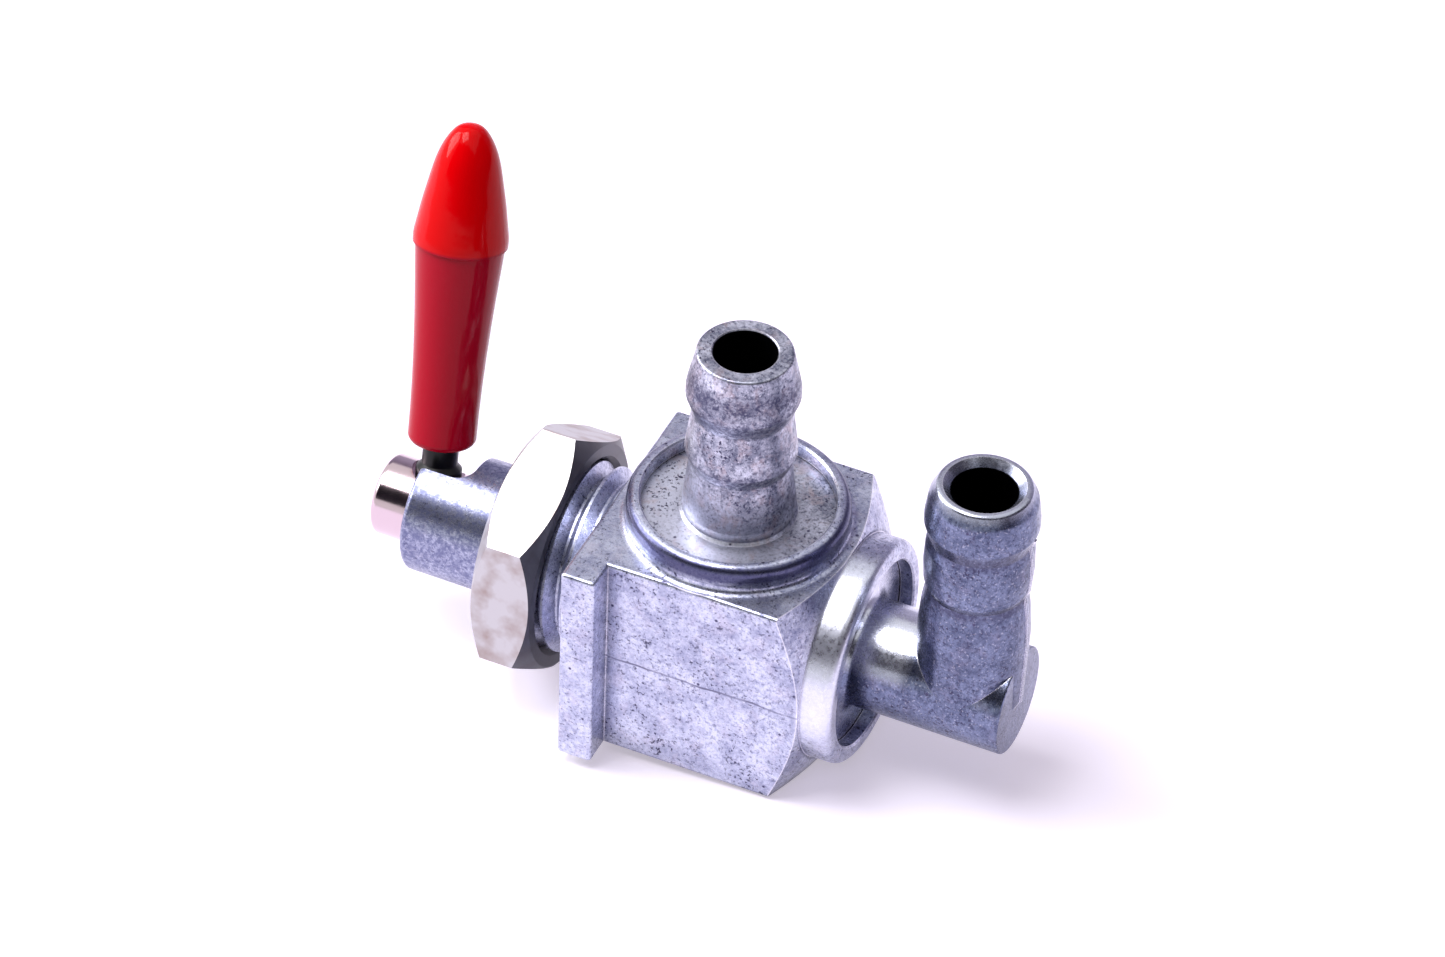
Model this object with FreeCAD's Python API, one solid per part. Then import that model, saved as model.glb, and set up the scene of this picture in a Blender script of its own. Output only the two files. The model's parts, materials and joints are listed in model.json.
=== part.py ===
import FreeCAD, Part
import math
import os

# Shut-off valve with two hose barbs, a panel neck and a lever.
# Millimetres. X runs along the neck, the stem and the outlet; X = 0 is the face that meets the panel.
# Z runs up the straight inlet barb, Y runs from the front of the body to its rear.

V = FreeCAD.Vector
os.makedirs("parts", exist_ok=True)

# Cast body
BODY_WIDTH = 17.0          # square block, across the flats
BODY_LENGTH = 17.2         # panel face to the turned right end
CONE_RUN = 2.0             # length of the turned cone at the right end
CAST_EDGE = 0.3            # rounding of the block's long edges
LUG_THICK = 2.6
LUG_PROUD = 2.3

# Neck and thread
THREAD_RADIUS = 7.0
THREAD_PITCH = 1.5
THREAD_LENGTH = 7.9
THREAD_BEVEL = 0.75        # start of the thread, radially
THREAD_BEVEL_RUN = 0.45
THREAD_SHOULDER = 0.1      # plain round left at the panel face
NECK_RADIUS = 4.7
NECK_END = 15.56
NECK_ROUND = 0.45          # rounding of the neck's open end
WINDOW_END = 11.75         # right end of the lever window
WINDOW_CORNER = 1.4
STEM_RADIUS = 3.0
STEM_END = 18.75

# Spun seats of the two barbs
FLANGE_RADIUS = 7.2
FLANGE_THICK = 1.6
LIP_RADIUS = 6.87          # inner radius of the rolled lip
LIP_HEIGHT = 1.12          # lip above the flange's face
LIP_ROUND = 0.7            # rounding of the rolled rim
LIP_BEVEL = 0.13           # bevel inside the rim
TOP_RING_RADIUS = 7.85
END_RING_RADIUS = 8.25
RING_FOOT = 0.55           # hollow rounding where the top ring leaves the block
END_SEAT_DEPTH = 0.5       # floor of the right-hand seat, inside the turned end
EDGE_BREAK = 0.15          # rounding of turned edges

# Hose barbs
CREST_RADIUS = 4.0         # for an 8 mm hose
CREST_LAND = 0.6           # short cylindrical band on the upper crest
BARB_CREST = 0.765         # height of that band, as a share of each barb's height
ELBOW_CREST = 0.845
BARB_HEIGHT = 14.26        # straight barb above its flange
INLET_BORE = 2.23
OUTLET_BORE = 2.33
INLET_SINK = 0.12          # countersinks of the two bores
OUTLET_SINK = 0.55
ELBOW_REACH = 9.83         # from the flange's underside to the upright leg's axis
ELBOW_TAIL = 3.66          # from that axis to the elbow's end
ELBOW_TOP = 18.64
ELBOW_TUBE = 3.95
ELBOW_ROOT = 0.8           # hollow rounding between flange and tube
WELL_DEPTH = 1.2           # bottom of the upright bore, below the level bore's axis
SEAM_HEIGHT = 0.1          # parting seam along the elbow's right side
SEAM_WIDTH = 0.3

# Jam nut
NUT_WALL = 1.425           # from the thread to the flats
NUT_THICK = 4.6
NUT_BORE_BEVEL = 0.4
NUT_FACE_SHARE = 0.985     # round of the face, as a share of the flats
NUT_SLOPE = 36.0
NUT_RIGHT_FACE = 3.45      # distance from the panel face
NUT_CORNER_ANGLE = 36.5    # one corner, above the front

# Lever
LEVER_X = 14.886           # where the rod crosses the stem
LEVER_BACK = 18.0          # lean towards the rear in the pose shown
LEVER_SIDE = 3.3           # slight lean towards the free end of the neck
FRONT_STOP = 12.0
REAR_STOP = 102.0
ROD_RADIUS = 1.3
FOOT_RADIUS = 1.66
FOOT_BASE = 2.6            # flat on the stem that the foot sits on
FOOT_HEIGHT = 1.0
FOOT_SLOPE = 0.35          # height of its sloping shoulder
GRIP_BOTTOM = 5.2
GRIP_SEAM = 20.7
GRIP_TIP = 29.45
GRIP_RADIUS = 3.4

# Chamber, rotor and seals
CHAMBER_RADIUS = 5.2
SEAT_STACK = 2.65          # room for the port seat and its spring, from the chamber to the inlet flange
CHAMBER_LEAD = 1.75        # from the chamber's left end to the port seat
ROTOR_BORE = 2.65
WASHER_THICK = 0.5
HEAD_THICK = 1.1
TANG_LENGTH = 1.2
TANG_THICK = 2.0
SEAT_RADIUS = 3.85
SEAT_SPRING_ROOM = 0.85    # between the port seat and the inlet flange
ROTOR_SPRING_ROOM = 0.95   # between the rotor and the outlet flange
CORD = 0.44                # half thickness of the O-ring cord
SPRING_THICK = 0.25
SPRING_INSET = 0.1         # a spring washer's rim inside its hole
HEAD_STEP = 0.7            # the stem's head inside the chamber, radially

# Clearances
RUNNING = 0.05             # between pieces that turn in each other
SNUG = 0.02                # between pieces that stay together
RING_SIDE = 0.12           # an O-ring's room beside its cord

HALF = BODY_WIDTH / 2
INLET_X = BODY_LENGTH / 2
BORE_RADIUS = STEM_RADIUS + RUNNING
SEAT_BORE = SEAT_RADIUS + RUNNING
TOP_SEAT_Z = CHAMBER_RADIUS + SEAT_STACK
CHAMBER_START = INLET_X - SEAT_RADIUS - CHAMBER_LEAD
STEM_HEAD_RADIUS = CHAMBER_RADIUS - HEAD_STEP
TOP_FACE_Z = TOP_SEAT_Z + FLANGE_THICK
TOP_RIM_Z = TOP_FACE_Z + LIP_HEIGHT
END_SEAT_X = BODY_LENGTH - END_SEAT_DEPTH
ELBOW_SEAT_X = END_SEAT_X + RUNNING
END_FACE_X = ELBOW_SEAT_X + FLANGE_THICK
END_RIM_X = END_FACE_X + LIP_HEIGHT
ELBOW_X = ELBOW_SEAT_X + ELBOW_REACH
ELBOW_END = ELBOW_X + ELBOW_TAIL
NUT_FLATS = 2 * (THREAD_RADIUS + NUT_WALL)
ROTOR_RADIUS = CHAMBER_RADIUS - RUNNING
HEAD_X = CHAMBER_START + WASHER_THICK + SNUG
ROTOR_START = HEAD_X + HEAD_THICK + SNUG
ROTOR_END = END_SEAT_X - ROTOR_SPRING_ROOM
SEAT_TOP = TOP_SEAT_Z - SEAT_SPRING_ROOM
SEAT_CORD_Z = (ROTOR_RADIUS + SEAT_TOP) / 2
RING_HALF = CORD + RING_SIDE
TOP_CORD_RADIUS = (SEAT_BORE + FLANGE_RADIUS) / 2 - 0.25
END_CORD_RADIUS = (CHAMBER_RADIUS + FLANGE_RADIUS) / 2 + 0.15
STEM_CORD_X = (CHAMBER_START - 10 * CORD, CHAMBER_START - 17 * CORD)


def outline(corners):
    """Closed wire in the XZ plane through (radius, height, corner rounding)."""
    count = len(corners)
    edges = []
    firsts = []
    lasts = []
    for i, (x, z, r) in enumerate(corners):
        p = V(x, 0, z)
        before = corners[i - 1]
        after = corners[(i + 1) % count]
        a = (V(before[0], 0, before[1]) - p).normalize()
        b = (V(after[0], 0, after[1]) - p).normalize()
        if r:
            half = a.getAngle(b) / 2
            reach = r / math.tan(half)
            inward = (a + b).normalize()
            middle = p + inward * (r / math.sin(half) - r)
            first = p + a * reach
            last = p + b * reach
            edges.append(Part.Arc(first, middle, last).toShape())
        else:
            first = p
            last = p
        firsts.append(first)
        lasts.append(last)
    for i in range(count):
        start = lasts[i]
        end = firsts[(i + 1) % count]
        if start.distanceToPoint(end) > 1e-6:
            edges.append(Part.makeLine(start, end))
    return Part.Wire(Part.__sortEdges__(edges))


def turned(corners):
    """Solid of revolution about Z."""
    return Part.Face(outline(corners)).revolve(V(0, 0, 0), V(0, 0, 1), 360)


def ring(inner, outer, low, high):
    """Plain ring or washer about Z."""
    return turned([(inner, low, 0), (outer, low, 0), (outer, high, 0), (inner, high, 0)])


def disc(radius, low, high):
    return Part.makeCylinder(radius, high - low, V(0, 0, low))


def along_x(shape):
    """Turns a shape built about Z so that its height runs along +X."""
    return shape.rotate(V(0, 0, 0), V(0, 1, 0), 90)


def at_inlet(shape):
    shape.translate(V(INLET_X, 0, 0))
    return shape


def box(x0, x1, y0, y1, z0, z1):
    return Part.makeBox(x1 - x0, y1 - y0, z1 - z0, V(x0, y0, z0))


def edges_along(shape, direction, test):
    """Straight edges parallel to a direction whose middle passes the test."""
    found = []
    for edge in shape.Edges:
        if len(edge.Vertexes) != 2 or not isinstance(edge.Curve, Part.Line):
            continue
        run = edge.Vertexes[1].Point - edge.Vertexes[0].Point
        if run.cross(direction).Length < 1e-6 and test(edge.CenterOfMass):
            found.append(edge)
    return found


def save(shape, name):
    shape.exportStep("parts/" + name + ".step")


def cast_block():
    """Square block with the front lug, its right end turned to a cone."""
    block = box(0, BODY_LENGTH, -HALF, HALF, -HALF, HALF)
    lug = box(0, LUG_THICK, -HALF - LUG_PROUD, -HALF, -HALF, HALF)
    block = block.fuse(lug).removeSplitter()
    outer = edges_along(block, V(1, 0, 0), lambda c: abs(c.z) > HALF - 0.1)
    block = block.makeFillet(CAST_EDGE, outer)
    sides = edges_along(block, V(0, 0, 1), lambda c: c.y < -HALF - 0.1)
    block = block.makeFillet(CAST_EDGE, sides)
    corner = HALF * math.sqrt(2)
    slope = (corner - HALF) / CONE_RUN
    wide = HALF + slope * BODY_LENGTH
    return block.common(along_x(Part.makeCone(wide, HALF, BODY_LENGTH)))


def top_ring():
    """Round boss on the top face, rolled over at its rim."""
    foot = HALF - 0.5
    rise = TOP_RIM_Z - HALF
    return at_inlet(turned([
        (0, foot, 0),
        (HALF - 0.06, foot, 0),
        (HALF - 0.06, HALF, 0),
        (TOP_RING_RADIUS, HALF, min(RING_FOOT, 0.4 * rise)),
        (TOP_RING_RADIUS, TOP_RIM_Z, min(LIP_ROUND, 0.5 * rise)),
        (0, TOP_RIM_Z, 0),
    ]))


def end_ring():
    """Round boss on the right end."""
    return along_x(turned([
        (0, BODY_LENGTH - 1, 0),
        (END_RING_RADIUS, BODY_LENGTH - 1, 0),
        (END_RING_RADIUS, END_RIM_X, LIP_ROUND),
        (0, END_RIM_X, 0),
    ]))


def threaded_neck():
    """Thread with its V groove on a helix, then the plain neck with the lever window."""
    core = Part.makeCylinder(THREAD_RADIUS, THREAD_LENGTH + 1, V(0, 0, -THREAD_LENGTH))
    bevel = turned([
        (THREAD_RADIUS - 2 * THREAD_BEVEL, -THREAD_LENGTH - THREAD_BEVEL_RUN, 0),
        (THREAD_RADIUS + THREAD_BEVEL, -THREAD_LENGTH - THREAD_BEVEL_RUN, 0),
        (THREAD_RADIUS + THREAD_BEVEL, -THREAD_LENGTH + 2 * THREAD_BEVEL_RUN, 0),
    ])
    core = core.cut(bevel).rotate(V(0, 0, 0), V(0, 0, 1), 180)
    depth = 0.61 * THREAD_PITCH
    root = THREAD_RADIUS - depth
    top = THREAD_RADIUS + 0.1
    low = -THREAD_LENGTH - 1.1 * THREAD_PITCH
    open_half = 0.4375 * THREAD_PITCH + 0.1 * math.tan(math.radians(30))
    run = -THREAD_SHOULDER - open_half - low
    helix = Part.makeHelix(THREAD_PITCH, run, THREAD_RADIUS)
    helix.translate(V(0, 0, low))
    groove = Part.makePolygon([
        V(top, 0, low - open_half),
        V(root, 0, low - 0.09),
        V(root, 0, low + 0.09),
        V(top, 0, low + open_half),
        V(top, 0, low - open_half),
    ])
    cutter = Part.Wire(helix).makePipeShell([groove], True, True)
    thread = along_x(core.cut(cutter))
    neck = along_x(turned([
        (0, -NECK_END, 0),
        (NECK_RADIUS, -NECK_END, NECK_ROUND),
        (NECK_RADIUS, 0, 0),
        (0, 0, 0),
    ]))
    return [thread, neck.cut(lever_window())]


def lever_window():
    """Room for the lever's foot between its two stops, open at the end of the neck."""
    front = math.radians(FRONT_STOP)
    rear = math.radians(REAR_STOP)
    reach = FOOT_BASE + 0.8
    front_y = FOOT_BASE * math.sin(front) - FOOT_RADIUS * math.cos(front) - RUNNING
    rear_z = reach * math.cos(rear) - FOOT_RADIUS * math.sin(rear) - RUNNING
    far = NECK_RADIUS + 2
    cut = box(-NECK_END - 1, -WINDOW_END, front_y, far, rear_z, far)
    corners = edges_along(cut, V(0, 0, 1), lambda c: c.x > -WINDOW_END - 0.1 and c.y < 0)
    corners += edges_along(cut, V(0, 1, 0), lambda c: c.x > -WINDOW_END - 0.1 and c.z < 0)
    return cut.makeFillet(WINDOW_CORNER, corners)


def groove_of(cord_radius, floor):
    """Room for an O-ring below a floor, about Z."""
    return ring(cord_radius - RING_HALF, cord_radius + RING_HALF, floor - 2 * CORD - SNUG, floor + 0.01)


def body_hollow():
    """Everything cut out of the casting."""
    top = ring_seat(TOP_SEAT_Z, TOP_FACE_Z + RUNNING, TOP_RIM_Z)
    top = top.fuse(disc(SEAT_BORE, 0, TOP_SEAT_Z + 0.5))
    top = at_inlet(top.fuse(groove_of(TOP_CORD_RADIUS, TOP_SEAT_Z)))
    end = ring_seat(END_SEAT_X, END_FACE_X + RUNNING, END_RIM_X)
    end = end.fuse(disc(CHAMBER_RADIUS, CHAMBER_START, END_SEAT_X + 0.5))
    end = end.fuse(disc(BORE_RADIUS, -NECK_END - 1, CHAMBER_START + 0.5))
    end = along_x(end.fuse(groove_of(END_CORD_RADIUS, END_SEAT_X)))
    return [top, end]


def ring_seat(floor, lip, rim):
    """Counterbore for a flange with the narrower lip above it, about Z."""
    return disc(FLANGE_RADIUS + RUNNING, floor, lip).fuse(turned([
        (0, lip - 0.1, 0),
        (LIP_RADIUS, lip - 0.1, 0),
        (LIP_RADIUS, rim - LIP_BEVEL, 0),
        (LIP_RADIUS + 2 * LIP_BEVEL, rim + LIP_BEVEL, 0),
        (0, rim + LIP_BEVEL, 0),
    ]))


def valve_body():
    solid = cast_block()
    for piece in [top_ring(), end_ring()] + threaded_neck():
        solid = solid.fuse(piece)
    for hollow in body_hollow():
        solid = solid.cut(hollow)
    return solid.removeSplitter()


def barb_leg(skin, height, bore, sink):
    """Barbed tube about Z from height 0, its bore countersunk at the tip. The skin is a list of
    (share of the crest's radius, share of the height, corner rounding) from the foot up."""
    corners = [(bore, 0, 0)]
    for radius, rise, rounding in skin:
        corners.append((CREST_RADIUS * radius, height * rise, rounding))
    corners.append((bore + sink, height, 0))
    corners.append((bore, height - sink, 0))
    return turned(corners)


def crest(share, height):
    """The two corners of the upper crest's cylindrical band."""
    half = CREST_LAND / 2 / height
    return [(1.0, share - half, 0.3), (1.0, share + half, 0.5)]


def straight_barb():
    skin = [(1.035, 0.0, 0), (0.98, 0.015, 0.1), (1.0, 0.065, 0.5), (0.892, 0.335, 0.5), (0.985, 0.40, 0.3),
            (0.875, 0.645, 0.6)] + crest(BARB_CREST, BARB_HEIGHT) + [(0.84, 1.0, 0.2)]
    leg = barb_leg(skin, BARB_HEIGHT, INLET_BORE, INLET_SINK)
    leg.translate(V(0, 0, TOP_FACE_Z))
    flange = turned([
        (INLET_BORE, TOP_SEAT_Z, 0),
        (FLANGE_RADIUS, TOP_SEAT_Z, 0),
        (FLANGE_RADIUS, TOP_FACE_Z, EDGE_BREAK),
        (INLET_BORE, TOP_FACE_Z, 0),
    ])
    return at_inlet(flange.fuse(leg).removeSplitter())


def elbow_skin(more):
    """Outer line of the elbow's upright leg, raised by so much of the crest's radius."""
    skin = [(0.955, 0.0, 0), (0.975, 0.18, 3), (0.985, 0.31, 3), (0.945, 0.43, 1.5), (0.878, 0.522, 0.25),
            (0.94, 0.555, 0.25), (0.962, 0.63, 1.5), (0.945, 0.72, 0.5), (0.905, 0.763, 0.25)]
    skin += crest(ELBOW_CREST, ELBOW_TOP) + [(0.95, 0.945, 1.0), (0.82, 1.0, 0.35)]
    return [(radius + more, rise, rounding) for radius, rise, rounding in skin]


def elbow_barb():
    upright = barb_leg(elbow_skin(0), ELBOW_TOP, OUTLET_BORE, OUTLET_SINK)
    seam = barb_leg(elbow_skin(SEAM_HEIGHT / CREST_RADIUS), ELBOW_TOP, OUTLET_BORE, OUTLET_SINK)
    seam_end = ELBOW_CREST * ELBOW_TOP - CREST_LAND
    seam = seam.common(box(0, 2 * CREST_RADIUS, -SEAM_WIDTH / 2, SEAM_WIDTH / 2, 0, seam_end))
    upright = upright.fuse(seam)
    upright.translate(V(ELBOW_X, 0, 0))
    tube = along_x(turned([
        (0, ELBOW_SEAT_X, 0),
        (FLANGE_RADIUS, ELBOW_SEAT_X, 0),
        (FLANGE_RADIUS, END_FACE_X, EDGE_BREAK),
        (ELBOW_TUBE, END_FACE_X, ELBOW_ROOT),
        (ELBOW_TUBE, ELBOW_END, EDGE_BREAK),
        (0, ELBOW_END, 0),
    ]))
    bores = along_x(disc(OUTLET_BORE, ELBOW_SEAT_X - 1, ELBOW_X))
    well = disc(OUTLET_BORE, -WELL_DEPTH, ELBOW_TOP - 2 * OUTLET_SINK)
    well.translate(V(ELBOW_X, 0, 0))
    return tube.fuse(upright).cut(bores.fuse(well)).removeSplitter()


def jam_nut():
    """Thin hexagon nut, bevelled on both faces."""
    right = -NUT_RIGHT_FACE
    left = right - NUT_THICK
    radius = NUT_FLATS / math.sqrt(3)
    corners = []
    for i in range(7):
        angle = math.radians(NUT_CORNER_ANGLE + 60 * i)
        corners.append(V(left, -radius * math.cos(angle), radius * math.sin(angle)))
    prism = Part.Face(Part.makePolygon(corners)).extrude(V(NUT_THICK, 0, 0))
    face_r = NUT_FLATS / 2 * NUT_FACE_SHARE
    rise = (radius - face_r) * math.tan(math.radians(NUT_SLOPE))
    envelope = along_x(turned([
        (0, left, 0),
        (face_r, left, 0),
        (radius, left + rise, 0),
        (radius, right - rise, 0),
        (face_r, right, 0),
        (0, right, 0),
    ]))
    hole = THREAD_RADIUS + RUNNING
    bore = along_x(turned([
        (0, left - NUT_BORE_BEVEL, 0),
        (hole + 2 * NUT_BORE_BEVEL, left - NUT_BORE_BEVEL, 0),
        (hole, left + NUT_BORE_BEVEL, 0),
        (hole, right - NUT_BORE_BEVEL, 0),
        (hole + 2 * NUT_BORE_BEVEL, right + NUT_BORE_BEVEL, 0),
        (0, right + NUT_BORE_BEVEL, 0),
    ]))
    return prism.common(envelope).cut(bore)


def o_ring(cord_radius, height):
    shape = Part.makeTorus(cord_radius, CORD, V(0, 0, height), V(0, 0, 1))
    return shape


def dished_washer(inner, outer, low, high):
    """Conical spring washer about Z filling the height between two faces."""
    return turned([
        (inner, high - SPRING_THICK, 0),
        (outer, low, 0),
        (outer, low + SPRING_THICK, 0),
        (inner, high, 0),
    ])


def port_seat():
    """Sleeve pressed onto the rotor, its lower end hollowed to the rotor's round."""
    groove = SEAT_BORE - 2 * CORD - 2 * SNUG
    sleeve = ring(INLET_BORE, SEAT_RADIUS, ROTOR_RADIUS / 2, SEAT_TOP)
    sleeve = sleeve.cut(ring(groove, SEAT_RADIUS + 1, SEAT_CORD_Z - RING_HALF, SEAT_CORD_Z + RING_HALF))
    sleeve = at_inlet(sleeve)
    return sleeve.cut(along_x(disc(ROTOR_RADIUS + SNUG, ROTOR_START, ROTOR_END)))


def lean(shape):
    """Turns a shape built upright about the stem's axis into the pose shown."""
    return shape.rotate(V(0, 0, 0), V(1, 0, 0), -LEVER_BACK)


def on_lever(shape):
    """Puts a shape built about Z onto the lever's axis."""
    shape.rotate(V(0, 0, 0), V(0, 1, 0), -LEVER_SIDE)
    shape.translate(V(-LEVER_X, 0, 0))
    return lean(shape)


def valve_stem():
    """Turned stem: rounded outer end, two O-ring grooves, inner head and tang."""
    shaft = turned([
        (0, -STEM_END, 0),
        (STEM_RADIUS, -STEM_END, 0.45),
        (STEM_RADIUS, HEAD_X, 0),
        (STEM_HEAD_RADIUS, HEAD_X, 0),
        (STEM_HEAD_RADIUS, HEAD_X + HEAD_THICK, 0),
        (0, HEAD_X + HEAD_THICK, 0),
    ])
    groove = BORE_RADIUS - 2 * CORD - 2 * SNUG
    for x in STEM_CORD_X:
        shaft = shaft.cut(ring(groove, STEM_RADIUS + 1, x - RING_HALF, x + RING_HALF))
    shaft = along_x(shaft)
    tang = box(HEAD_X + HEAD_THICK - 0.1, ROTOR_START + TANG_LENGTH - SNUG,
               -TANG_THICK / 2, TANG_THICK / 2, -STEM_RADIUS, STEM_RADIUS)
    shaft = shaft.fuse(lean(tang)).removeSplitter()
    hole = disc(ROD_RADIUS + SNUG, -STEM_RADIUS - 1, STEM_RADIUS + 1)
    flat = disc(FOOT_RADIUS + 0.25, FOOT_BASE, STEM_RADIUS + 1)
    return shaft.cut(on_lever(hole.fuse(flat)))


def rotor():
    """Hollow plug, open towards the elbow. Its side port meets the inlet at the lever's front stop."""
    plug = along_x(ring(0, ROTOR_RADIUS, ROTOR_START, ROTOR_END).cut(
        disc(ROTOR_BORE, ROTOR_START + 2 * TANG_LENGTH, ROTOR_END + 1)))
    slot = box(ROTOR_START - 1, ROTOR_START + TANG_LENGTH + SNUG,
               -TANG_THICK / 2 - SNUG, TANG_THICK / 2 + SNUG, -ROTOR_RADIUS - 1, ROTOR_RADIUS + 1)
    port = at_inlet(disc(INLET_BORE, 0, ROTOR_RADIUS + 1)).rotate(V(0, 0, 0), V(1, 0, 0), FRONT_STOP)
    return plug.cut(lean(slot.fuse(port)))


def lever_rod():
    """Steel rod through the stem, with the flared foot that sits on the stem."""
    foot_top = FOOT_BASE + FOOT_HEIGHT
    return on_lever(turned([
        (0, -STEM_RADIUS + 0.25, 0),
        (ROD_RADIUS, -STEM_RADIUS + 0.25, 0),
        (ROD_RADIUS, FOOT_BASE + SNUG, 0),
        (FOOT_RADIUS, FOOT_BASE + SNUG, 0),
        (FOOT_RADIUS, foot_top - FOOT_SLOPE, 0.15),
        (ROD_RADIUS, foot_top, 0.15),
        (ROD_RADIUS, GRIP_SEAM, EDGE_BREAK),
        (0, GRIP_SEAM, 0),
    ]))


def lever_handle():
    """Moulded grip: widens to the seam, small lip there, then an ogive to the tip."""
    lower = GRIP_SEAM - GRIP_BOTTOM
    upper = GRIP_TIP - GRIP_SEAM
    shank = [(0.045, 0.728), (0.205, 0.735), (0.45, 0.775), (0.70, 0.845), (0.90, 0.915), (0.985, 0.945)]
    nose = [(0.0, 1.0), (0.12, 0.968), (0.30, 0.890), (0.52, 0.775), (0.77, 0.605), (0.93, 0.380)]
    low_points = [V(GRIP_RADIUS * r, 0, GRIP_BOTTOM + lower * h) for h, r in shank]
    high_points = [V(GRIP_RADIUS * r, 0, GRIP_SEAM + 0.1 + (upper - 0.1) * h) for h, r in nose]
    tip = V(0, 0, GRIP_TIP)
    low_curve = Part.BSplineCurve()
    low_curve.interpolate(low_points)
    high_curve = Part.BSplineCurve()
    high_curve.interpolate(Points=high_points + [tip],
                           InitialTangent=V(0.05, 0, 1), FinalTangent=V(-1, 0, 0))
    hole = ROD_RADIUS + SNUG
    under = V(low_points[0].x - 0.62, 0, GRIP_BOTTOM)
    middle = V(low_points[0].x - 0.17, 0, GRIP_BOTTOM + 0.19)
    edges = [
        Part.Arc(under, middle, low_points[0]).toShape(),
        low_curve.toShape(),
        Part.makeLine(low_points[-1], V(GRIP_RADIUS, 0, GRIP_SEAM - 0.12)),
        Part.makeLine(V(GRIP_RADIUS, 0, GRIP_SEAM - 0.12), high_points[0]),
        high_curve.toShape(),
        Part.makeLine(tip, V(0, 0, GRIP_SEAM + SNUG)),
        Part.makeLine(V(0, 0, GRIP_SEAM + SNUG), V(hole, 0, GRIP_SEAM + SNUG)),
        Part.makeLine(V(hole, 0, GRIP_SEAM + SNUG), V(hole, 0, GRIP_BOTTOM)),
        Part.makeLine(V(hole, 0, GRIP_BOTTOM), under),
    ]
    face = Part.Face(Part.Wire(Part.__sortEdges__(edges)))
    return on_lever(face.revolve(V(0, 0, 0), V(0, 0, 1), 360))


save(valve_body(), "valve_body")
save(jam_nut(), "jam_nut")
save(straight_barb(), "straight_barb")
save(at_inlet(o_ring(TOP_CORD_RADIUS, TOP_SEAT_Z - CORD)), "straight_barb_o_ring")
save(elbow_barb(), "elbow_barb")
save(along_x(o_ring(END_CORD_RADIUS, END_SEAT_X - CORD)), "elbow_barb_o_ring")
save(port_seat(), "port_seat")
save(at_inlet(o_ring(SEAT_BORE - CORD - SNUG, SEAT_CORD_Z)), "port_seat_o_ring")
seat_spring_bore = INLET_BORE + 3 * SPRING_INSET
save(at_inlet(dished_washer(seat_spring_bore, SEAT_RADIUS - SPRING_INSET, SEAT_TOP, TOP_SEAT_Z)),
     "port_seat_spring")
save(valve_stem(), "valve_stem")
save(along_x(o_ring(BORE_RADIUS - CORD - SNUG, STEM_CORD_X[0])), "inner_stem_o_ring")
save(along_x(o_ring(BORE_RADIUS - CORD - SNUG, STEM_CORD_X[1])), "outer_stem_o_ring")
save(along_x(ring(BORE_RADIUS, ROTOR_RADIUS, CHAMBER_START, CHAMBER_START + WASHER_THICK)), "thrust_washer")
save(rotor(), "rotor")
save(along_x(dished_washer(ROTOR_BORE, ROTOR_RADIUS - SPRING_INSET, ROTOR_END + SNUG, END_SEAT_X)),
     "rotor_spring")
save(lever_rod(), "lever_rod")
save(lever_handle(), "lever_handle")
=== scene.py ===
import json
import math

import bmesh
import bpy
from mathutils import Matrix, Vector

MM = 0.001
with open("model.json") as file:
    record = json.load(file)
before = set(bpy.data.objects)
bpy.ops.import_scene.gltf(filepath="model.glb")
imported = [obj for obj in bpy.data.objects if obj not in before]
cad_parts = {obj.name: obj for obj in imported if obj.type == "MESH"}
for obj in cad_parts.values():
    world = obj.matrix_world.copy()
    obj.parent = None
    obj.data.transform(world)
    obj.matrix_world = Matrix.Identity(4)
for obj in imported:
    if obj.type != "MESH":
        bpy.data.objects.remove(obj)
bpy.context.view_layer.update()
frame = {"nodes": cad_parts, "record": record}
nodes = frame["nodes"]
mounts = {mount["name"]: mount for mount in frame["record"]["mounts"]}

# The lever's grip: its long axis at rest, and the two sides of its seam along it, in millimetres
GRIP_AXIS = (-0.0576, 0.3085, 0.9495)
GRIP_SEAM = (21.5, 21.65)

# The nut and the end of the block touch the table, so its top is tipped about a line under the nut
TABLE_LINE = (-5.3 * MM, 0.0, -9.69 * MM)
TABLE_TIP = math.radians(2.98)
TABLE_HALF = 3.0

# The camera that fits the photo: place in metres, and its own three directions
CAMERA_PLACE = Vector((0.13268, -0.2986, 0.29959))
CAMERA_RIGHT = Vector((0.9105, 0.4124, 0.0312))
CAMERA_UP = Vector((-0.2956, 0.5960, 0.7466))
CAMERA_BACK = Vector((0.2893, -0.6890, 0.6645))
LENS_MM = 155.774
SENSOR_MM = 36.0

# Shades that all three zinc castings share. Some are painted light: shade in corners, under crests and
# in bores, a dark reflection on the ring, highlights, and bright edges that are partly painted highlight.
ZINC = {
    "speck": "#3C3A54", "spark": "#E6E4F4", "pit": "#4E4C68", "neck": "#6C7092", "crest_shade": "#4A4A64",
    "corner_shade": "#30303E", "painted_highlight": "#E4E6F4", "edge": "#F4F2FC", "ring": "#3C3C60", "parting": "#6C6C84",
    "hollow": "#0A0A10"}
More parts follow.
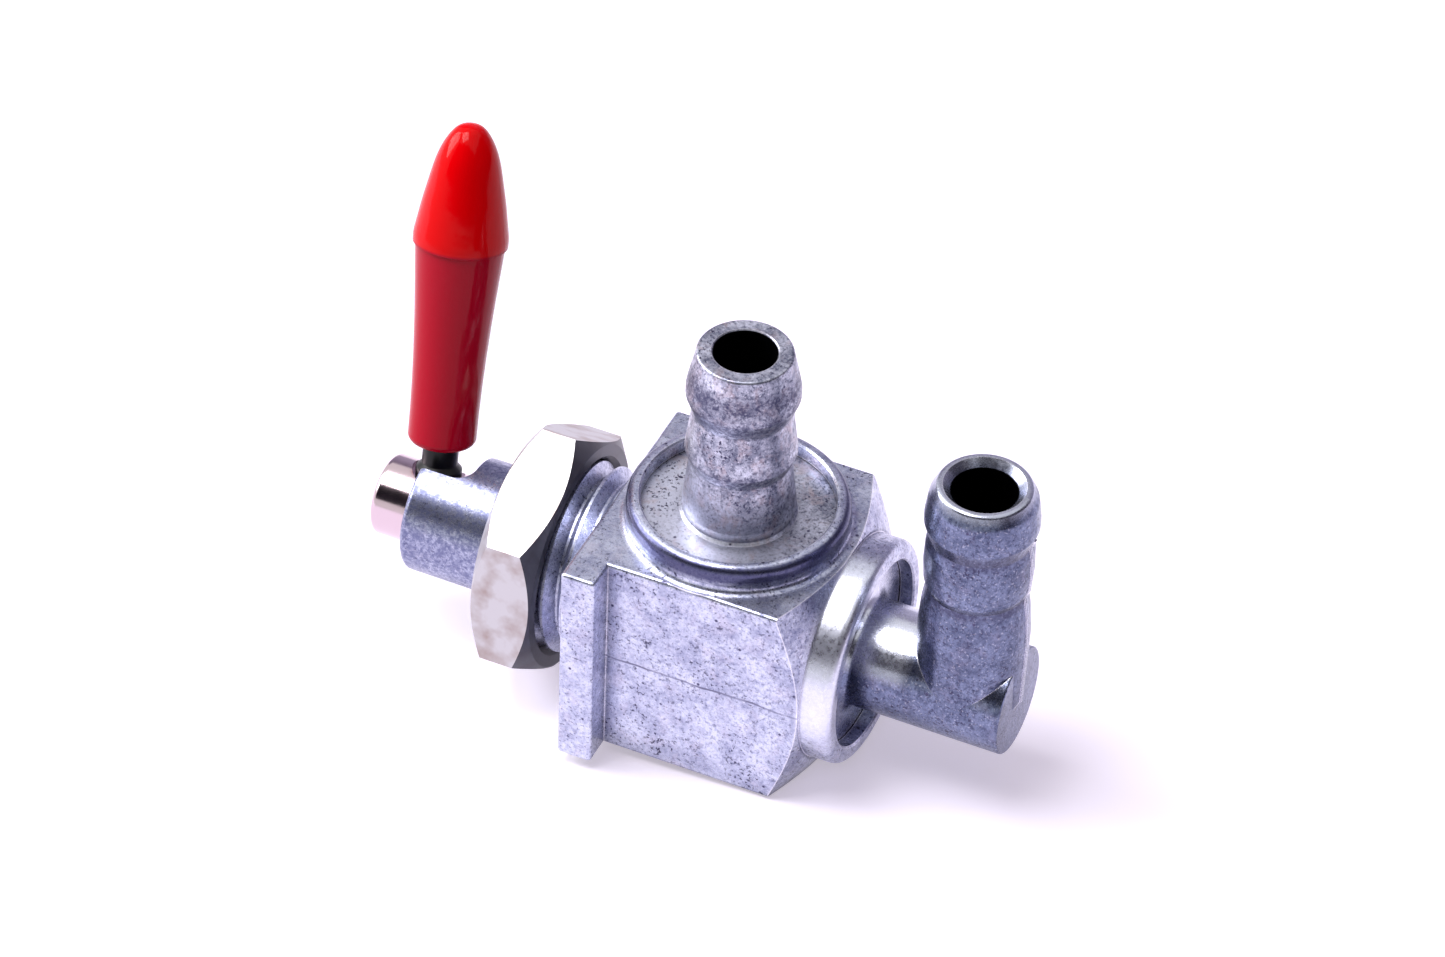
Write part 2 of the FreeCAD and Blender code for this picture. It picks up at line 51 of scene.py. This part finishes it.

# What each casting looks like. Places and sizes are in millimetres, and the rest are shares of 1.
#   light, dark, warm: shades of the metal, its oxide and its warm patches
#   rough, metal: the middle of its roughness, and how metallic it is
#   cloud, mottle, cover: how strong the oxide's clouds and mottling are, and how much more of both there is
#   blush, speck, spark, worn_edge_shine: how strong the warm patches, dark specks, light grains and bright
#       edges,
#     partly wear and partly painted highlight, are
#   oxide_side_shade: the oxide grows towards one side as painted shade, from its least share at one place
#     to all of it at another
#   painted_highlight: a painted highlight past a place on the long axis, on one side
#   neck_end: past this place on the long axis the neck is mottled with oxide and a painted dark reflection
#   edges_from: edges are rubbed bright and painted as highlights only from this place on, because the
#       thread's
#     crests are dull
#   front_face: place of the front, which shows the casting's parting line
#   ring: inner radius and bottom of the painted dark reflection on the rolled rim round the inlet's seat
#   crest_shade_bands: height and half width of each band of painted shade under a crest of a hose barb
#   bore: the mount that says where the bore is and how wide, whose inside is painted dark as shade
#   bright_top: the barb carries a painted highlight above this height
BODY_LOOK = {
    "light": "#D2D6EA", "dark": "#74789C", "warm": "#D8C4CC", "rough": 0.28, "metal": 0.9,
    "cloud": 0.7, "mottle": 0.95, "cover": 0.01, "blush": 0.16, "speck": 1.0, "spark": 0.45, "worn_edge_shine": 1.0,
    "oxide_side_shade": {"towards": (0.9, 0.2, 0.35), "thin": 0.0, "thick": 15.0, "least": 0.75},
    "painted_highlight": {"none": 16.9, "whole": 17.4, "side": (0.0, -0.8, 0.6), "low": 3.5, "high": 6.5},
    "neck_end": -7.6, "edges_from": -0.05, "front_face": -8.5, "ring": {"inner": 7.35, "bottom": 9.0}}
BARB_LOOK = {
    "light": "#D6D8E8", "dark": "#52566E", "warm": "#BCA4A4", "rough": 0.36, "metal": 0.9,
    "cloud": 0.75, "mottle": 0.9, "cover": 0.025, "blush": 0.45, "speck": 1.0, "spark": 0.55, "worn_edge_shine": 0.9,
    "oxide_side_shade": {"towards": (0.5, 0.2, 0.85), "thin": 11.5, "thick": 16.2, "least": 0.25},
    "crest_shade_bands": ((19.8, 1.2), (21.6, 1.1), (14.9, 0.8)), "bore": "inlet_bore"}
ELBOW_LOOK = {
    "light": "#8088A6", "dark": "#3A405C", "warm": "#A79AAE", "rough": 0.23, "metal": 0.92,
    "cloud": 0.6, "mottle": 0.8, "cover": 0.025, "blush": 0.14, "speck": 1.0, "spark": 0.3, "worn_edge_shine": 1.0,
    "oxide_side_shade": {"towards": (0.0, 0.0, 1.0), "thin": -4.0, "thick": 1.0, "least": 0.12},
    "painted_highlight": {"none": 23.4, "whole": 22.4, "side": (0.0, 0.0, 1.0), "low": 1.0, "high": 2.6},
    "crest_shade_bands": ((14.6, 1.0), (9.6, 0.6)), "bore": "outlet_bore", "bright_top": 17.95}


def colour(text):
    """sRGB hex as linear RGBA."""
    parts = [int(text[i : i + 2], 16) / 255 for i in (1, 3, 5)]
    linear = [c / 12.92 if c <= 0.04045 else ((c + 0.055) / 1.055) ** 2.4 for c in parts]
    return (*linear, 1.0)


def grain(mm):
    """Scale of a pattern whose features are this many millimetres wide."""
    return 1 / (mm * MM)


def add(tree, kind, inputs=(), **settings):
    """One node with its settings. An input is a constant, an output, or a node for its first output."""
    node = tree.nodes.new("ShaderNode" + kind)
    for name, value in settings.items():
        setattr(node, name, value)
    for key, value in dict(inputs).items():
        if isinstance(value, bpy.types.Node):
            value = value.outputs[0]
        if isinstance(value, bpy.types.NodeSocket):
            tree.links.new(value, node.inputs[key])
        else:
            node.inputs[key].default_value = value
    return node


def blank_material(name):
    """Empty material and its tree."""
    made = bpy.data.materials.new(name)
    made.use_nodes = True
    made.node_tree.nodes.clear()
    return made, made.node_tree


def layered(tree, base, shade, *masks):
    """The base colour with a shade laid over it where all the masks are 1."""
    whole = masks[0]
    for mask in masks[1:]:
        whole = add(tree, "Math", {0: whole, 1: mask}, operation="MULTIPLY")
    return add(tree, "Mix", {0: whole, 6: base, 7: colour(shade)}, data_type="RGBA").outputs[2]


def upright_distance(tree, place, axis):
    """How far a point lies from the upright line through a place on the long axis."""
    spoke = add(tree, "VectorMath", {0: place, 1: (axis, 0.0, 0.0)}, operation="SUBTRACT")
    level = add(tree, "VectorMath", {0: spoke, 1: (1.0, 1.0, 0.0)}, operation="MULTIPLY")
    return add(tree, "VectorMath", {0: level}, operation="LENGTH").outputs["Value"]


def zinc_oxide_and_side_shade(tree, place, look, mottle):
    """Light metal under clouds and mottling of dark oxide, which grow towards one side as painted shade,
    with warm patches.
    """
    cover = look["cover"]
    clouds = add(tree, "TexNoise", {"Vector": place, "Scale": grain(2.0), "Detail": 8.0, "Roughness": 0.74})
    cloud = add(tree, "MapRange", {
        "Value": clouds, "From Min": 0.40 - cover, "From Max": 0.62 - cover, "To Max": look["cloud"]})
    stain = add(tree, "MapRange", {
        "Value": mottle, "From Min": 0.50 - cover, "From Max": 0.66 - cover, "To Max": look["mottle"]})
    # The oxide is painted thicker towards one side, as painted shade
    oxide_side_shade = look["oxide_side_shade"]
    along = add(tree, "VectorMath", {0: place, 1: oxide_side_shade["towards"]}, operation="DOT_PRODUCT")
    side_shade_share = add(tree, "MapRange", {
        "Value": along.outputs["Value"], "From Min": oxide_side_shade["thin"] * MM, "From Max": oxide_side_shade["thick"] * MM,
        "To Min": oxide_side_shade["least"]})
    base = layered(tree, colour(look["light"]), look["dark"], cloud, side_shade_share)
    base = layered(tree, base, look["dark"], stain, side_shade_share)
    patch = add(tree, "TexNoise", {
        "Vector": place, "Scale": grain(1.5), "Detail": 6.0, "Roughness": 0.7, "Distortion": 0.5})
    blush = add(tree, "MapRange", {
        "Value": patch, "From Min": 0.52, "From Max": 0.66, "To Max": look["blush"]})
    return layered(tree, base, look["warm"], blush)


def zinc_specks(tree, place, base, look, crowding):
    """Fine dark specks that crowd in places, and light grains."""
    cover = look["cover"]
    dense = add(tree, "MapRange", {"Value": crowding, "From Min": 0.36, "From Max": 0.62, "To Min": 0.25})
    specks = add(tree, "TexNoise", {"Vector": place, "Scale": grain(0.24), "Detail": 3.0, "Roughness": 0.6})
    speck = add(tree, "MapRange", {
        "Value": specks, "From Min": 0.585 - cover, "From Max": 0.65 - cover, "To Max": look["speck"]})
    base = layered(tree, base, ZINC["speck"], speck, dense)
    grains = add(tree, "TexNoise", {"Vector": place, "Scale": grain(0.16), "Detail": 2.0, "Distortion": 0.4})
    spark = add(tree, "MapRange", {
        "Value": grains, "From Min": 0.60, "From Max": 0.70, "To Max": look["spark"]})
    return layered(tree, base, ZINC["spark"], spark)


def zinc_pits(tree, place):
    """Mask of small casting pits, one in every third cell of a millimetre."""
    cells = add(tree, "TexVoronoi", {"Vector": place, "Scale": grain(1.0), "Randomness": 1.0})
    pit = add(tree, "MapRange", {"Value": cells.outputs["Distance"], "From Min": 0.15, "From Max": 0.09})
    lot = add(tree, "SeparateColor", {"Color": cells.outputs["Color"]})
    drawn = add(tree, "Math", {0: lot, 1: 0.66}, operation="GREATER_THAN")
    return add(tree, "Math", {0: pit, 1: drawn}, operation="MULTIPLY")


def zinc_neck_oxide_and_crest_shade(tree, base, at, look, mottle):
    """Oxide with a painted dark reflection on the plain end of the neck, and painted shade in bands round a
    hose barb.
    """
    # The neck's mottled oxide is partly a painted dark reflection
    if "neck_end" in look:
        neck = add(tree, "MapRange", {
            "Value": at["X"], "From Min": look["neck_end"] * MM, "From Max": (look["neck_end"] - 0.5) * MM})
        oxide_and_reflection = add(tree, "MapRange", {"Value": mottle, "From Min": 0.36, "From Max": 0.60, "To Min": 0.35})
        base = layered(tree, base, ZINC["neck"], neck, oxide_and_reflection)
    # Painted shade in a band under each crest of a hose barb
    for height, half in look.get("crest_shade_bands", ()):
        above = add(tree, "Math", {0: at["Z"], 1: height * MM}, operation="SUBTRACT")
        away = add(tree, "Math", {0: above}, operation="ABSOLUTE")
        band = add(tree, "MapRange", {"Value": away, "From Min": half * MM, "From Max": 0.3 * half * MM})
        patchy = add(tree, "MapRange", {
            "Value": mottle, "From Min": 0.35, "From Max": 0.58, "To Min": 0.25, "To Max": 0.9})
        base = layered(tree, base, ZINC["crest_shade"], band, patchy)
    return base


def zinc_shade_highlight_and_wear(tree, place, base, at, look):
    """Painted shade in the corners but little on the open thread, then painted highlights on the ends, then
    edges rubbed bright and partly painted as highlights.
    """
    # Painted shade: darker in corners, creases and recesses, where little light reaches
    deep = add(tree, "AmbientOcclusion", {"Distance": 1.6 * MM}, samples=6)
    corner_shade = add(tree, "MapRange", {
        "Value": deep.outputs["AO"], "From Min": 0.72, "From Max": 0.30, "To Max": 0.85})
    off_thread = add(tree, "MapRange", {
        "Value": at["X"], "From Min": -0.4 * MM, "From Max": 0.0, "To Min": 0.3})
    base = layered(tree, base, ZINC["corner_shade"], corner_shade, off_thread)
    # Painted highlight on one side, past a place on the long axis
    if "painted_highlight" in look:
        painted_highlight = look["painted_highlight"]
        shine = add(tree, "MapRange", {
            "Value": at["X"], "From Min": painted_highlight["none"] * MM, "From Max": painted_highlight["whole"] * MM,
            "To Max": 0.8})
        outward = add(tree, "VectorMath", {0: place, 1: painted_highlight["side"]}, operation="DOT_PRODUCT")
        sided = add(tree, "MapRange", {
            "Value": outward.outputs["Value"], "From Min": painted_highlight["low"] * MM,
            "From Max": painted_highlight["high"] * MM})
        base = layered(tree, base, ZINC["painted_highlight"], shine, sided)
    # Painted highlight on the top of the barb
    if "bright_top" in look:
        start = look["bright_top"]
        top = add(tree, "MapRange", {
            "Value": at["Z"], "From Min": start * MM, "From Max": (start + 0.7) * MM, "To Max": 0.5})
        base = layered(tree, base, ZINC["painted_highlight"], top)
    # Edges made bright, partly rubbed wear and partly a painted highlight
    rounded = add(tree, "Bevel", {"Radius": 0.22 * MM}, samples=8)
    true_side = add(tree, "NewGeometry").outputs["Normal"]
    agree = add(tree, "VectorMath", {0: rounded, 1: true_side}, operation="DOT_PRODUCT")
    edge = add(tree, "MapRange", {
        "Value": agree.outputs["Value"], "From Min": 0.97, "From Max": 0.88, "To Max": look["worn_edge_shine"]})
    masks = [edge]
    if "edges_from" in look:
        masks.append(add(tree, "Math", {0: at["X"], 1: look["edges_from"] * MM}, operation="GREATER_THAN"))
    return layered(tree, base, ZINC["edge"], *masks)


def zinc_marks(tree, place, base, at, look, crowding):
    """A painted dark reflection on the rolled rim of the top ring, the thin parting line on the front, and
    painted shade in a bore.
    """
    # Painted dark reflection on the outside of the rolled rim
    if "ring" in look:
        inner, bottom = look["ring"]["inner"], look["ring"]["bottom"]
        reach = upright_distance(tree, place, mounts["inlet_bore"]["pos_m"][0])
        outside = add(tree, "MapRange", {
            "Value": reach, "From Min": inner * MM, "From Max": (inner + 0.2) * MM, "To Max": 0.9})
        above = add(tree, "MapRange", {
            "Value": at["Z"], "From Min": bottom * MM, "From Max": (bottom + 0.5) * MM})
        base = layered(tree, base, ZINC["ring"], outside, above)
    if "front_face" in look:
        wander = add(tree, "TexNoise", {"Vector": place, "Scale": grain(3.0), "Detail": 3.0})
        shift = add(tree, "MapRange", {"Value": wander, "To Min": -0.3 * MM, "To Max": 0.3 * MM})
        off = add(tree, "Math", {0: at["Z"], 1: shift}, operation="ADD")
        near = add(tree, "Math", {0: off}, operation="ABSOLUTE")
        thin = add(tree, "MapRange", {"Value": near, "From Min": 0.12 * MM, "From Max": 0.04 * MM})
        faded = add(tree, "MapRange", {
            "Value": crowding, "From Min": 0.38, "From Max": 0.56, "To Min": 0.25})
        front = add(tree, "Math", {0: at["Y"], 1: look["front_face"] * MM, 2: 0.1 * MM}, operation="COMPARE")
        base = layered(tree, base, ZINC["parting"], thin, faded, front)
    # Painted shade inside a bore
    if "bore" in look:
        bore = mounts[look["bore"]]
        reach = upright_distance(tree, place, bore["pos_m"][0])
        # The painted shade reaches a hair past the bore's wall, and ends above the underside of the elbow
        dark_radius = bore["dims"]["r_mm"] + 0.04
        dark_bottom = -2.0
        in_bore_shade = add(tree, "Math", {0: reach, 1: dark_radius * MM}, operation="LESS_THAN")
        higher = add(tree, "Math", {0: at["Z"], 1: dark_bottom * MM}, operation="GREATER_THAN")
        base = layered(tree, base, ZINC["hollow"], in_bore_shade, higher)
    return base


def die_cast_zinc(name, look):
    """Bare die-cast zinc alloy: a dull lilac-grey metal with cloudy oxide, fine dark specks and pits, a few
    light grains, and edges rubbed bright and partly painted as highlights, under painted shade, highlights
    and dark reflections."""
    made, tree = blank_material(name)
    place = add(tree, "TexCoord").outputs["Object"]
    at = add(tree, "SeparateXYZ", {"Vector": place}).outputs
    mottle = add(tree, "TexNoise", {"Vector": place, "Scale": grain(0.34), "Detail": 5.0, "Roughness": 0.78})
    crowding = add(tree, "TexNoise", {"Vector": place, "Scale": grain(4.0), "Detail": 2.0})
    base = zinc_oxide_and_side_shade(tree, place, look, mottle)
    base = zinc_specks(tree, place, base, look, crowding)
    pits = zinc_pits(tree, place)
    base = layered(tree, base, ZINC["pit"], pits)
    base = zinc_neck_oxide_and_crest_shade(tree, base, at, look, mottle)
    base = zinc_shade_highlight_and_wear(tree, place, base, at, look)
    base = zinc_marks(tree, place, base, at, look, crowding)
    dull = add(tree, "MapRange", {
        "Value": mottle, "From Min": 0.35, "From Max": 0.7,
        "To Min": look["rough"] - 0.05, "To Max": look["rough"] + 0.12})
    # The grain of the cast skin is too fine to show, so it is drawn 0.12 mm wide
    skin = add(tree, "TexNoise", {"Vector": place, "Scale": grain(0.12), "Detail": 3.0, "Roughness": 0.6})
    height = add(tree, "Math", {0: skin, 1: pits}, operation="SUBTRACT")
    bump = add(tree, "Bump", {"Strength": 0.3, "Distance": 0.02 * MM, "Height": height})
    metal = add(tree, "BsdfPrincipled", {
        "Base Color": base, "Metallic": look["metal"], "Roughness": dull, "Normal": bump})
    add(tree, "OutputMaterial", {"Surface": metal})
    return made


def zinc_plated_steel():
    """Bright zinc plate on a steel nut: near white with faint warm stains, and painted shade on the faces
    towards the block.
    """
    made, tree = blank_material("bright zinc plated steel")
    texture = add(tree, "TexCoord")
    place = texture.outputs["Object"]
    stains = add(tree, "TexNoise", {"Vector": place, "Scale": grain(2.0), "Detail": 3.0})
    stain = add(tree, "MapRange", {"Value": stains, "From Min": 0.46, "From Max": 0.70, "To Max": 0.8})
    base = layered(tree, colour("#BEBCBE"), "#988680", stain)
    # Painted shade on the faces that look towards the block
    facing = add(tree, "SeparateXYZ", {"Vector": texture.outputs["Normal"]})
    end = add(tree, "MapRange", {"Value": facing, "From Min": 0.3, "From Max": 0.5, "To Max": 0.85})
    base = layered(tree, base, "#34343E", end)
    fine = add(tree, "TexNoise", {"Vector": place, "Scale": grain(0.25), "Detail": 3.0})
    bump = add(tree, "Bump", {"Strength": 0.12, "Distance": 0.02 * MM, "Height": fine})
    metal = add(tree, "BsdfPrincipled", {
        "Base Color": base, "Metallic": 1.0, "Roughness": 0.42, "Normal": bump})
    add(tree, "OutputMaterial", {"Surface": metal})
    return made


def nickel_plate():
    """Polished nickel plate on the turned stem: a warm mirror with a faint haze."""
    made, tree = blank_material("polished nickel plate")
    place = add(tree, "TexCoord").outputs["Object"]
    haze = add(tree, "TexNoise", {"Vector": place, "Scale": grain(1.2), "Detail": 2.0})
    dull = add(tree, "MapRange", {"Value": haze, "To Min": 0.10, "To Max": 0.22})
    metal = add(tree, "BsdfPrincipled", {
        "Base Color": colour("#CCB8C0"), "Metallic": 1.0, "Roughness": dull})
    add(tree, "OutputMaterial", {"Surface": metal})
    return made


def black_oxide():
    """Blackened steel rod: near black with a soft sheen."""
    made, tree = blank_material("black oxide steel")
    place = add(tree, "TexCoord").outputs["Object"]
    scuff = add(tree, "TexNoise", {"Vector": place, "Scale": grain(0.5), "Detail": 4.0})
    dull = add(tree, "MapRange", {"Value": scuff, "To Min": 0.28, "To Max": 0.5})
    metal = add(tree, "BsdfPrincipled", {
        "Base Color": colour("#08080C"), "Metallic": 0.0, "Roughness": dull, "Specular IOR Level": 0.3})
    add(tree, "OutputMaterial", {"Surface": metal})
    return made


def moulded_red():
    """Glossy moulded plastic, deep red below its seam and bright above, with faint ripples in its shine."""
    made, tree = blank_material("glossy moulded red plastic")
    place = add(tree, "TexCoord").outputs["Object"]
    along = add(tree, "VectorMath", {0: place, 1: GRIP_AXIS}, operation="DOT_PRODUCT")
    first, last = GRIP_SEAM
    above = add(tree, "MapRange", {
        "Value": along.outputs["Value"], "From Min": first * MM, "From Max": last * MM})
    base = layered(tree, colour("#B00020"), "#D40006", above)
    haze = add(tree, "TexNoise", {"Vector": place, "Scale": grain(1.6), "Detail": 3.0})
    dull = add(tree, "MapRange", {"Value": haze, "To Min": 0.06, "To Max": 0.16})
    ripple = add(tree, "TexNoise", {"Vector": place, "Scale": grain(0.9), "Detail": 2.0})
    bump = add(tree, "Bump", {"Strength": 0.05, "Distance": 0.05 * MM, "Height": ripple})
    plastic = add(tree, "BsdfPrincipled", {
        "Base Color": base, "Roughness": dull, "IOR": 1.5, "Specular IOR Level": 0.12, "Normal": bump})
    add(tree, "OutputMaterial", {"Surface": plastic})
    return made


def plain_finish(name, shade, metallic, rough, grain_mm):
    """Inner pieces: one colour with a fine grain in its sheen."""
    made, tree = blank_material(name)
    place = add(tree, "TexCoord").outputs["Object"]
    fine = add(tree, "TexNoise", {"Vector": place, "Scale": grain(grain_mm), "Detail": 3.0})
    dull = add(tree, "MapRange", {"Value": fine, "To Min": rough - 0.08, "To Max": rough + 0.08})
    skin = add(tree, "BsdfPrincipled", {
        "Base Color": colour(shade), "Metallic": metallic, "Roughness": dull})
    add(tree, "OutputMaterial", {"Surface": skin})
    return made


def dress(made, *names):
    """Gives the named pieces one material."""
    for name in names:
        mesh = nodes[name].data
        mesh.materials.clear()
        mesh.materials.append(made)


def make_camera():
    """The photo's own view."""
    data = bpy.data.cameras.new("camera")
    data.lens = LENS_MM
    data.sensor_width = SENSOR_MM
    data.clip_start = 0.01
    data.clip_end = 20.0
    camera = bpy.data.objects.new("camera", data)
    turn = Matrix((CAMERA_RIGHT, CAMERA_UP, CAMERA_BACK)).transposed().to_4x4()
    camera.matrix_world = Matrix.Translation(CAMERA_PLACE) @ turn
    bpy.context.scene.collection.objects.link(camera)
    bpy.context.scene.camera = camera
    bpy.context.scene.view_settings.view_transform = "Standard"


def make_sheet(name, place, made):
    """A square of 2 by 2 metres, brought to its size and place by a matrix."""
    mesh = bpy.data.meshes.new(name)
    shape = bmesh.new()
    bmesh.ops.create_grid(shape, x_segments=1, y_segments=1, size=1.0, matrix=place)
    shape.to_mesh(mesh)
    shape.free()
    mesh.materials.append(made)
    sheet = bpy.data.objects.new(name, mesh)
    bpy.context.scene.collection.objects.link(sheet)
    return sheet


def looked_at(tree):
    """1 for a ray that shows what it meets: from the camera, off gloss or through clear matter."""
    ray = add(tree, "LightPath")
    seen = ray.outputs["Is Camera Ray"]
    for kind in ("Is Glossy Ray", "Is Transmission Ray"):
        seen = add(tree, "Math", {0: seen, 1: ray.outputs[kind]}, operation="MAXIMUM").outputs[0]
    return seen


def make_table():
    """White table top with a faint glow of its own, so that it shows white and still holds the shadow."""
    paper, tree = blank_material("white table")
    matt = add(tree, "BsdfDiffuse", {"Color": colour("#DEDAE6")})
    glow = add(tree, "Emission", {"Color": colour("#F4ECF9"), "Strength": 0.50})
    shown = add(tree, "MixShader", {0: looked_at(tree), 2: glow})
    add(tree, "OutputMaterial", {"Surface": add(tree, "AddShader", {0: matt, 1: shown})})
    tipped = Matrix.Translation(TABLE_LINE) @ Matrix.Rotation(-TABLE_TIP, 4, "Y")
    make_sheet("table_top", tipped @ Matrix.Scale(TABLE_HALF, 4), paper)


def make_curtain(name, foot, width, height, turn, shade):
    """Upright cloth out of the camera's sight. The metal shows it in the faces that look towards it."""
    cloth, tree = blank_material(name.replace("_", " "))
    add(tree, "OutputMaterial", {"Surface": add(tree, "BsdfDiffuse", {"Color": colour(shade)})})
    middle = Vector(foot) + Vector((0, 0, height / 2))
    upright = Matrix.Rotation(math.radians(turn), 4, "Z") @ Matrix.Rotation(math.radians(90), 4, "X")
    size = Matrix.Diagonal((width / 2, height / 2, 1.0, 1.0))
    make_sheet(name, Matrix.Translation(middle) @ upright @ size, cloth).visible_camera = False


def make_lamp(name, place, aim, width, depth, power, shade):
    """Soft box that faces a point."""
    data = bpy.data.lights.new(name, "AREA")
    data.shape = "RECTANGLE"
    data.size = width
    data.size_y = depth
    data.energy = power
    data.color = colour(shade)[:3]
    lamp = bpy.data.objects.new(name, data)
    spot = Vector(place)
    turn = (spot - Vector(aim)).to_track_quat("Z", "Y").to_matrix().to_4x4()
    lamp.matrix_world = Matrix.Translation(spot) @ turn
    bpy.context.scene.collection.objects.link(lamp)


def make_world():
    """Soft light from all round, and a white background."""
    world = bpy.data.worlds.new("studio")
    bpy.context.scene.world = world
    world.use_nodes = True
    tree = world.node_tree
    tree.nodes.clear()
    soft = add(tree, "Background", {"Color": colour("#F8EAF6"), "Strength": 0.42})
    white = add(tree, "Background", {"Color": colour("#FFFFFF"), "Strength": 1.0})
    both = add(tree, "MixShader", {0: looked_at(tree), 1: soft, 2: white})
    add(tree, "OutputWorld", {"Surface": both})


dress(die_cast_zinc("die-cast zinc body", BODY_LOOK), "valve_body")
dress(die_cast_zinc("die-cast zinc straight barb", BARB_LOOK), "straight_barb")
dress(die_cast_zinc("die-cast zinc elbow barb", ELBOW_LOOK), "elbow_barb")
dress(zinc_plated_steel(), "jam_nut")
dress(nickel_plate(), "valve_stem")
dress(black_oxide(), "lever_rod")
dress(moulded_red(), "lever_handle")
dress(plain_finish("turned brass", "#C8A860", 1.0, 0.3, 0.2), "rotor")
dress(plain_finish("spring steel", "#9A9AA0", 1.0, 0.3, 0.2), "rotor_spring", "port_seat_spring")
dress(plain_finish("white low-friction plastic", "#E6E4DC", 0.0, 0.45, 0.3), "port_seat", "thrust_washer")
dress(
    plain_finish("black nitrile rubber", "#18181A", 0.0, 0.6, 0.2),
    "straight_barb_o_ring", "elbow_barb_o_ring", "port_seat_o_ring",
    "inner_stem_o_ring", "outer_stem_o_ring",
)

make_camera()
make_table()
make_curtain("dark_curtain", foot=(0.45, -1.1, 0.36), width=3.5, height=1.64, turn=0, shade="#26242E")
make_curtain("rear_curtain", foot=(0.0, 1.3, 0.0), width=3.2, height=1.3, turn=0, shade="#EEECFF")
make_curtain("right_curtain", foot=(1.5, 0.1, 0.05), width=2.2, height=1.55, turn=90, shade="#5A5662")
make_world()
make_lamp(
    "overhead soft box", place=(-0.261, -0.117, 0.852), aim=(0, 0, 0),
    width=0.50, depth=0.42, power=6.5, shade="#FFFDFF")
make_lamp(
    "left soft box", place=(-0.77, -0.09, 0.45), aim=(0, 0, 0.01),
    width=0.50, depth=0.50, power=6.6, shade="#FFFFFF")
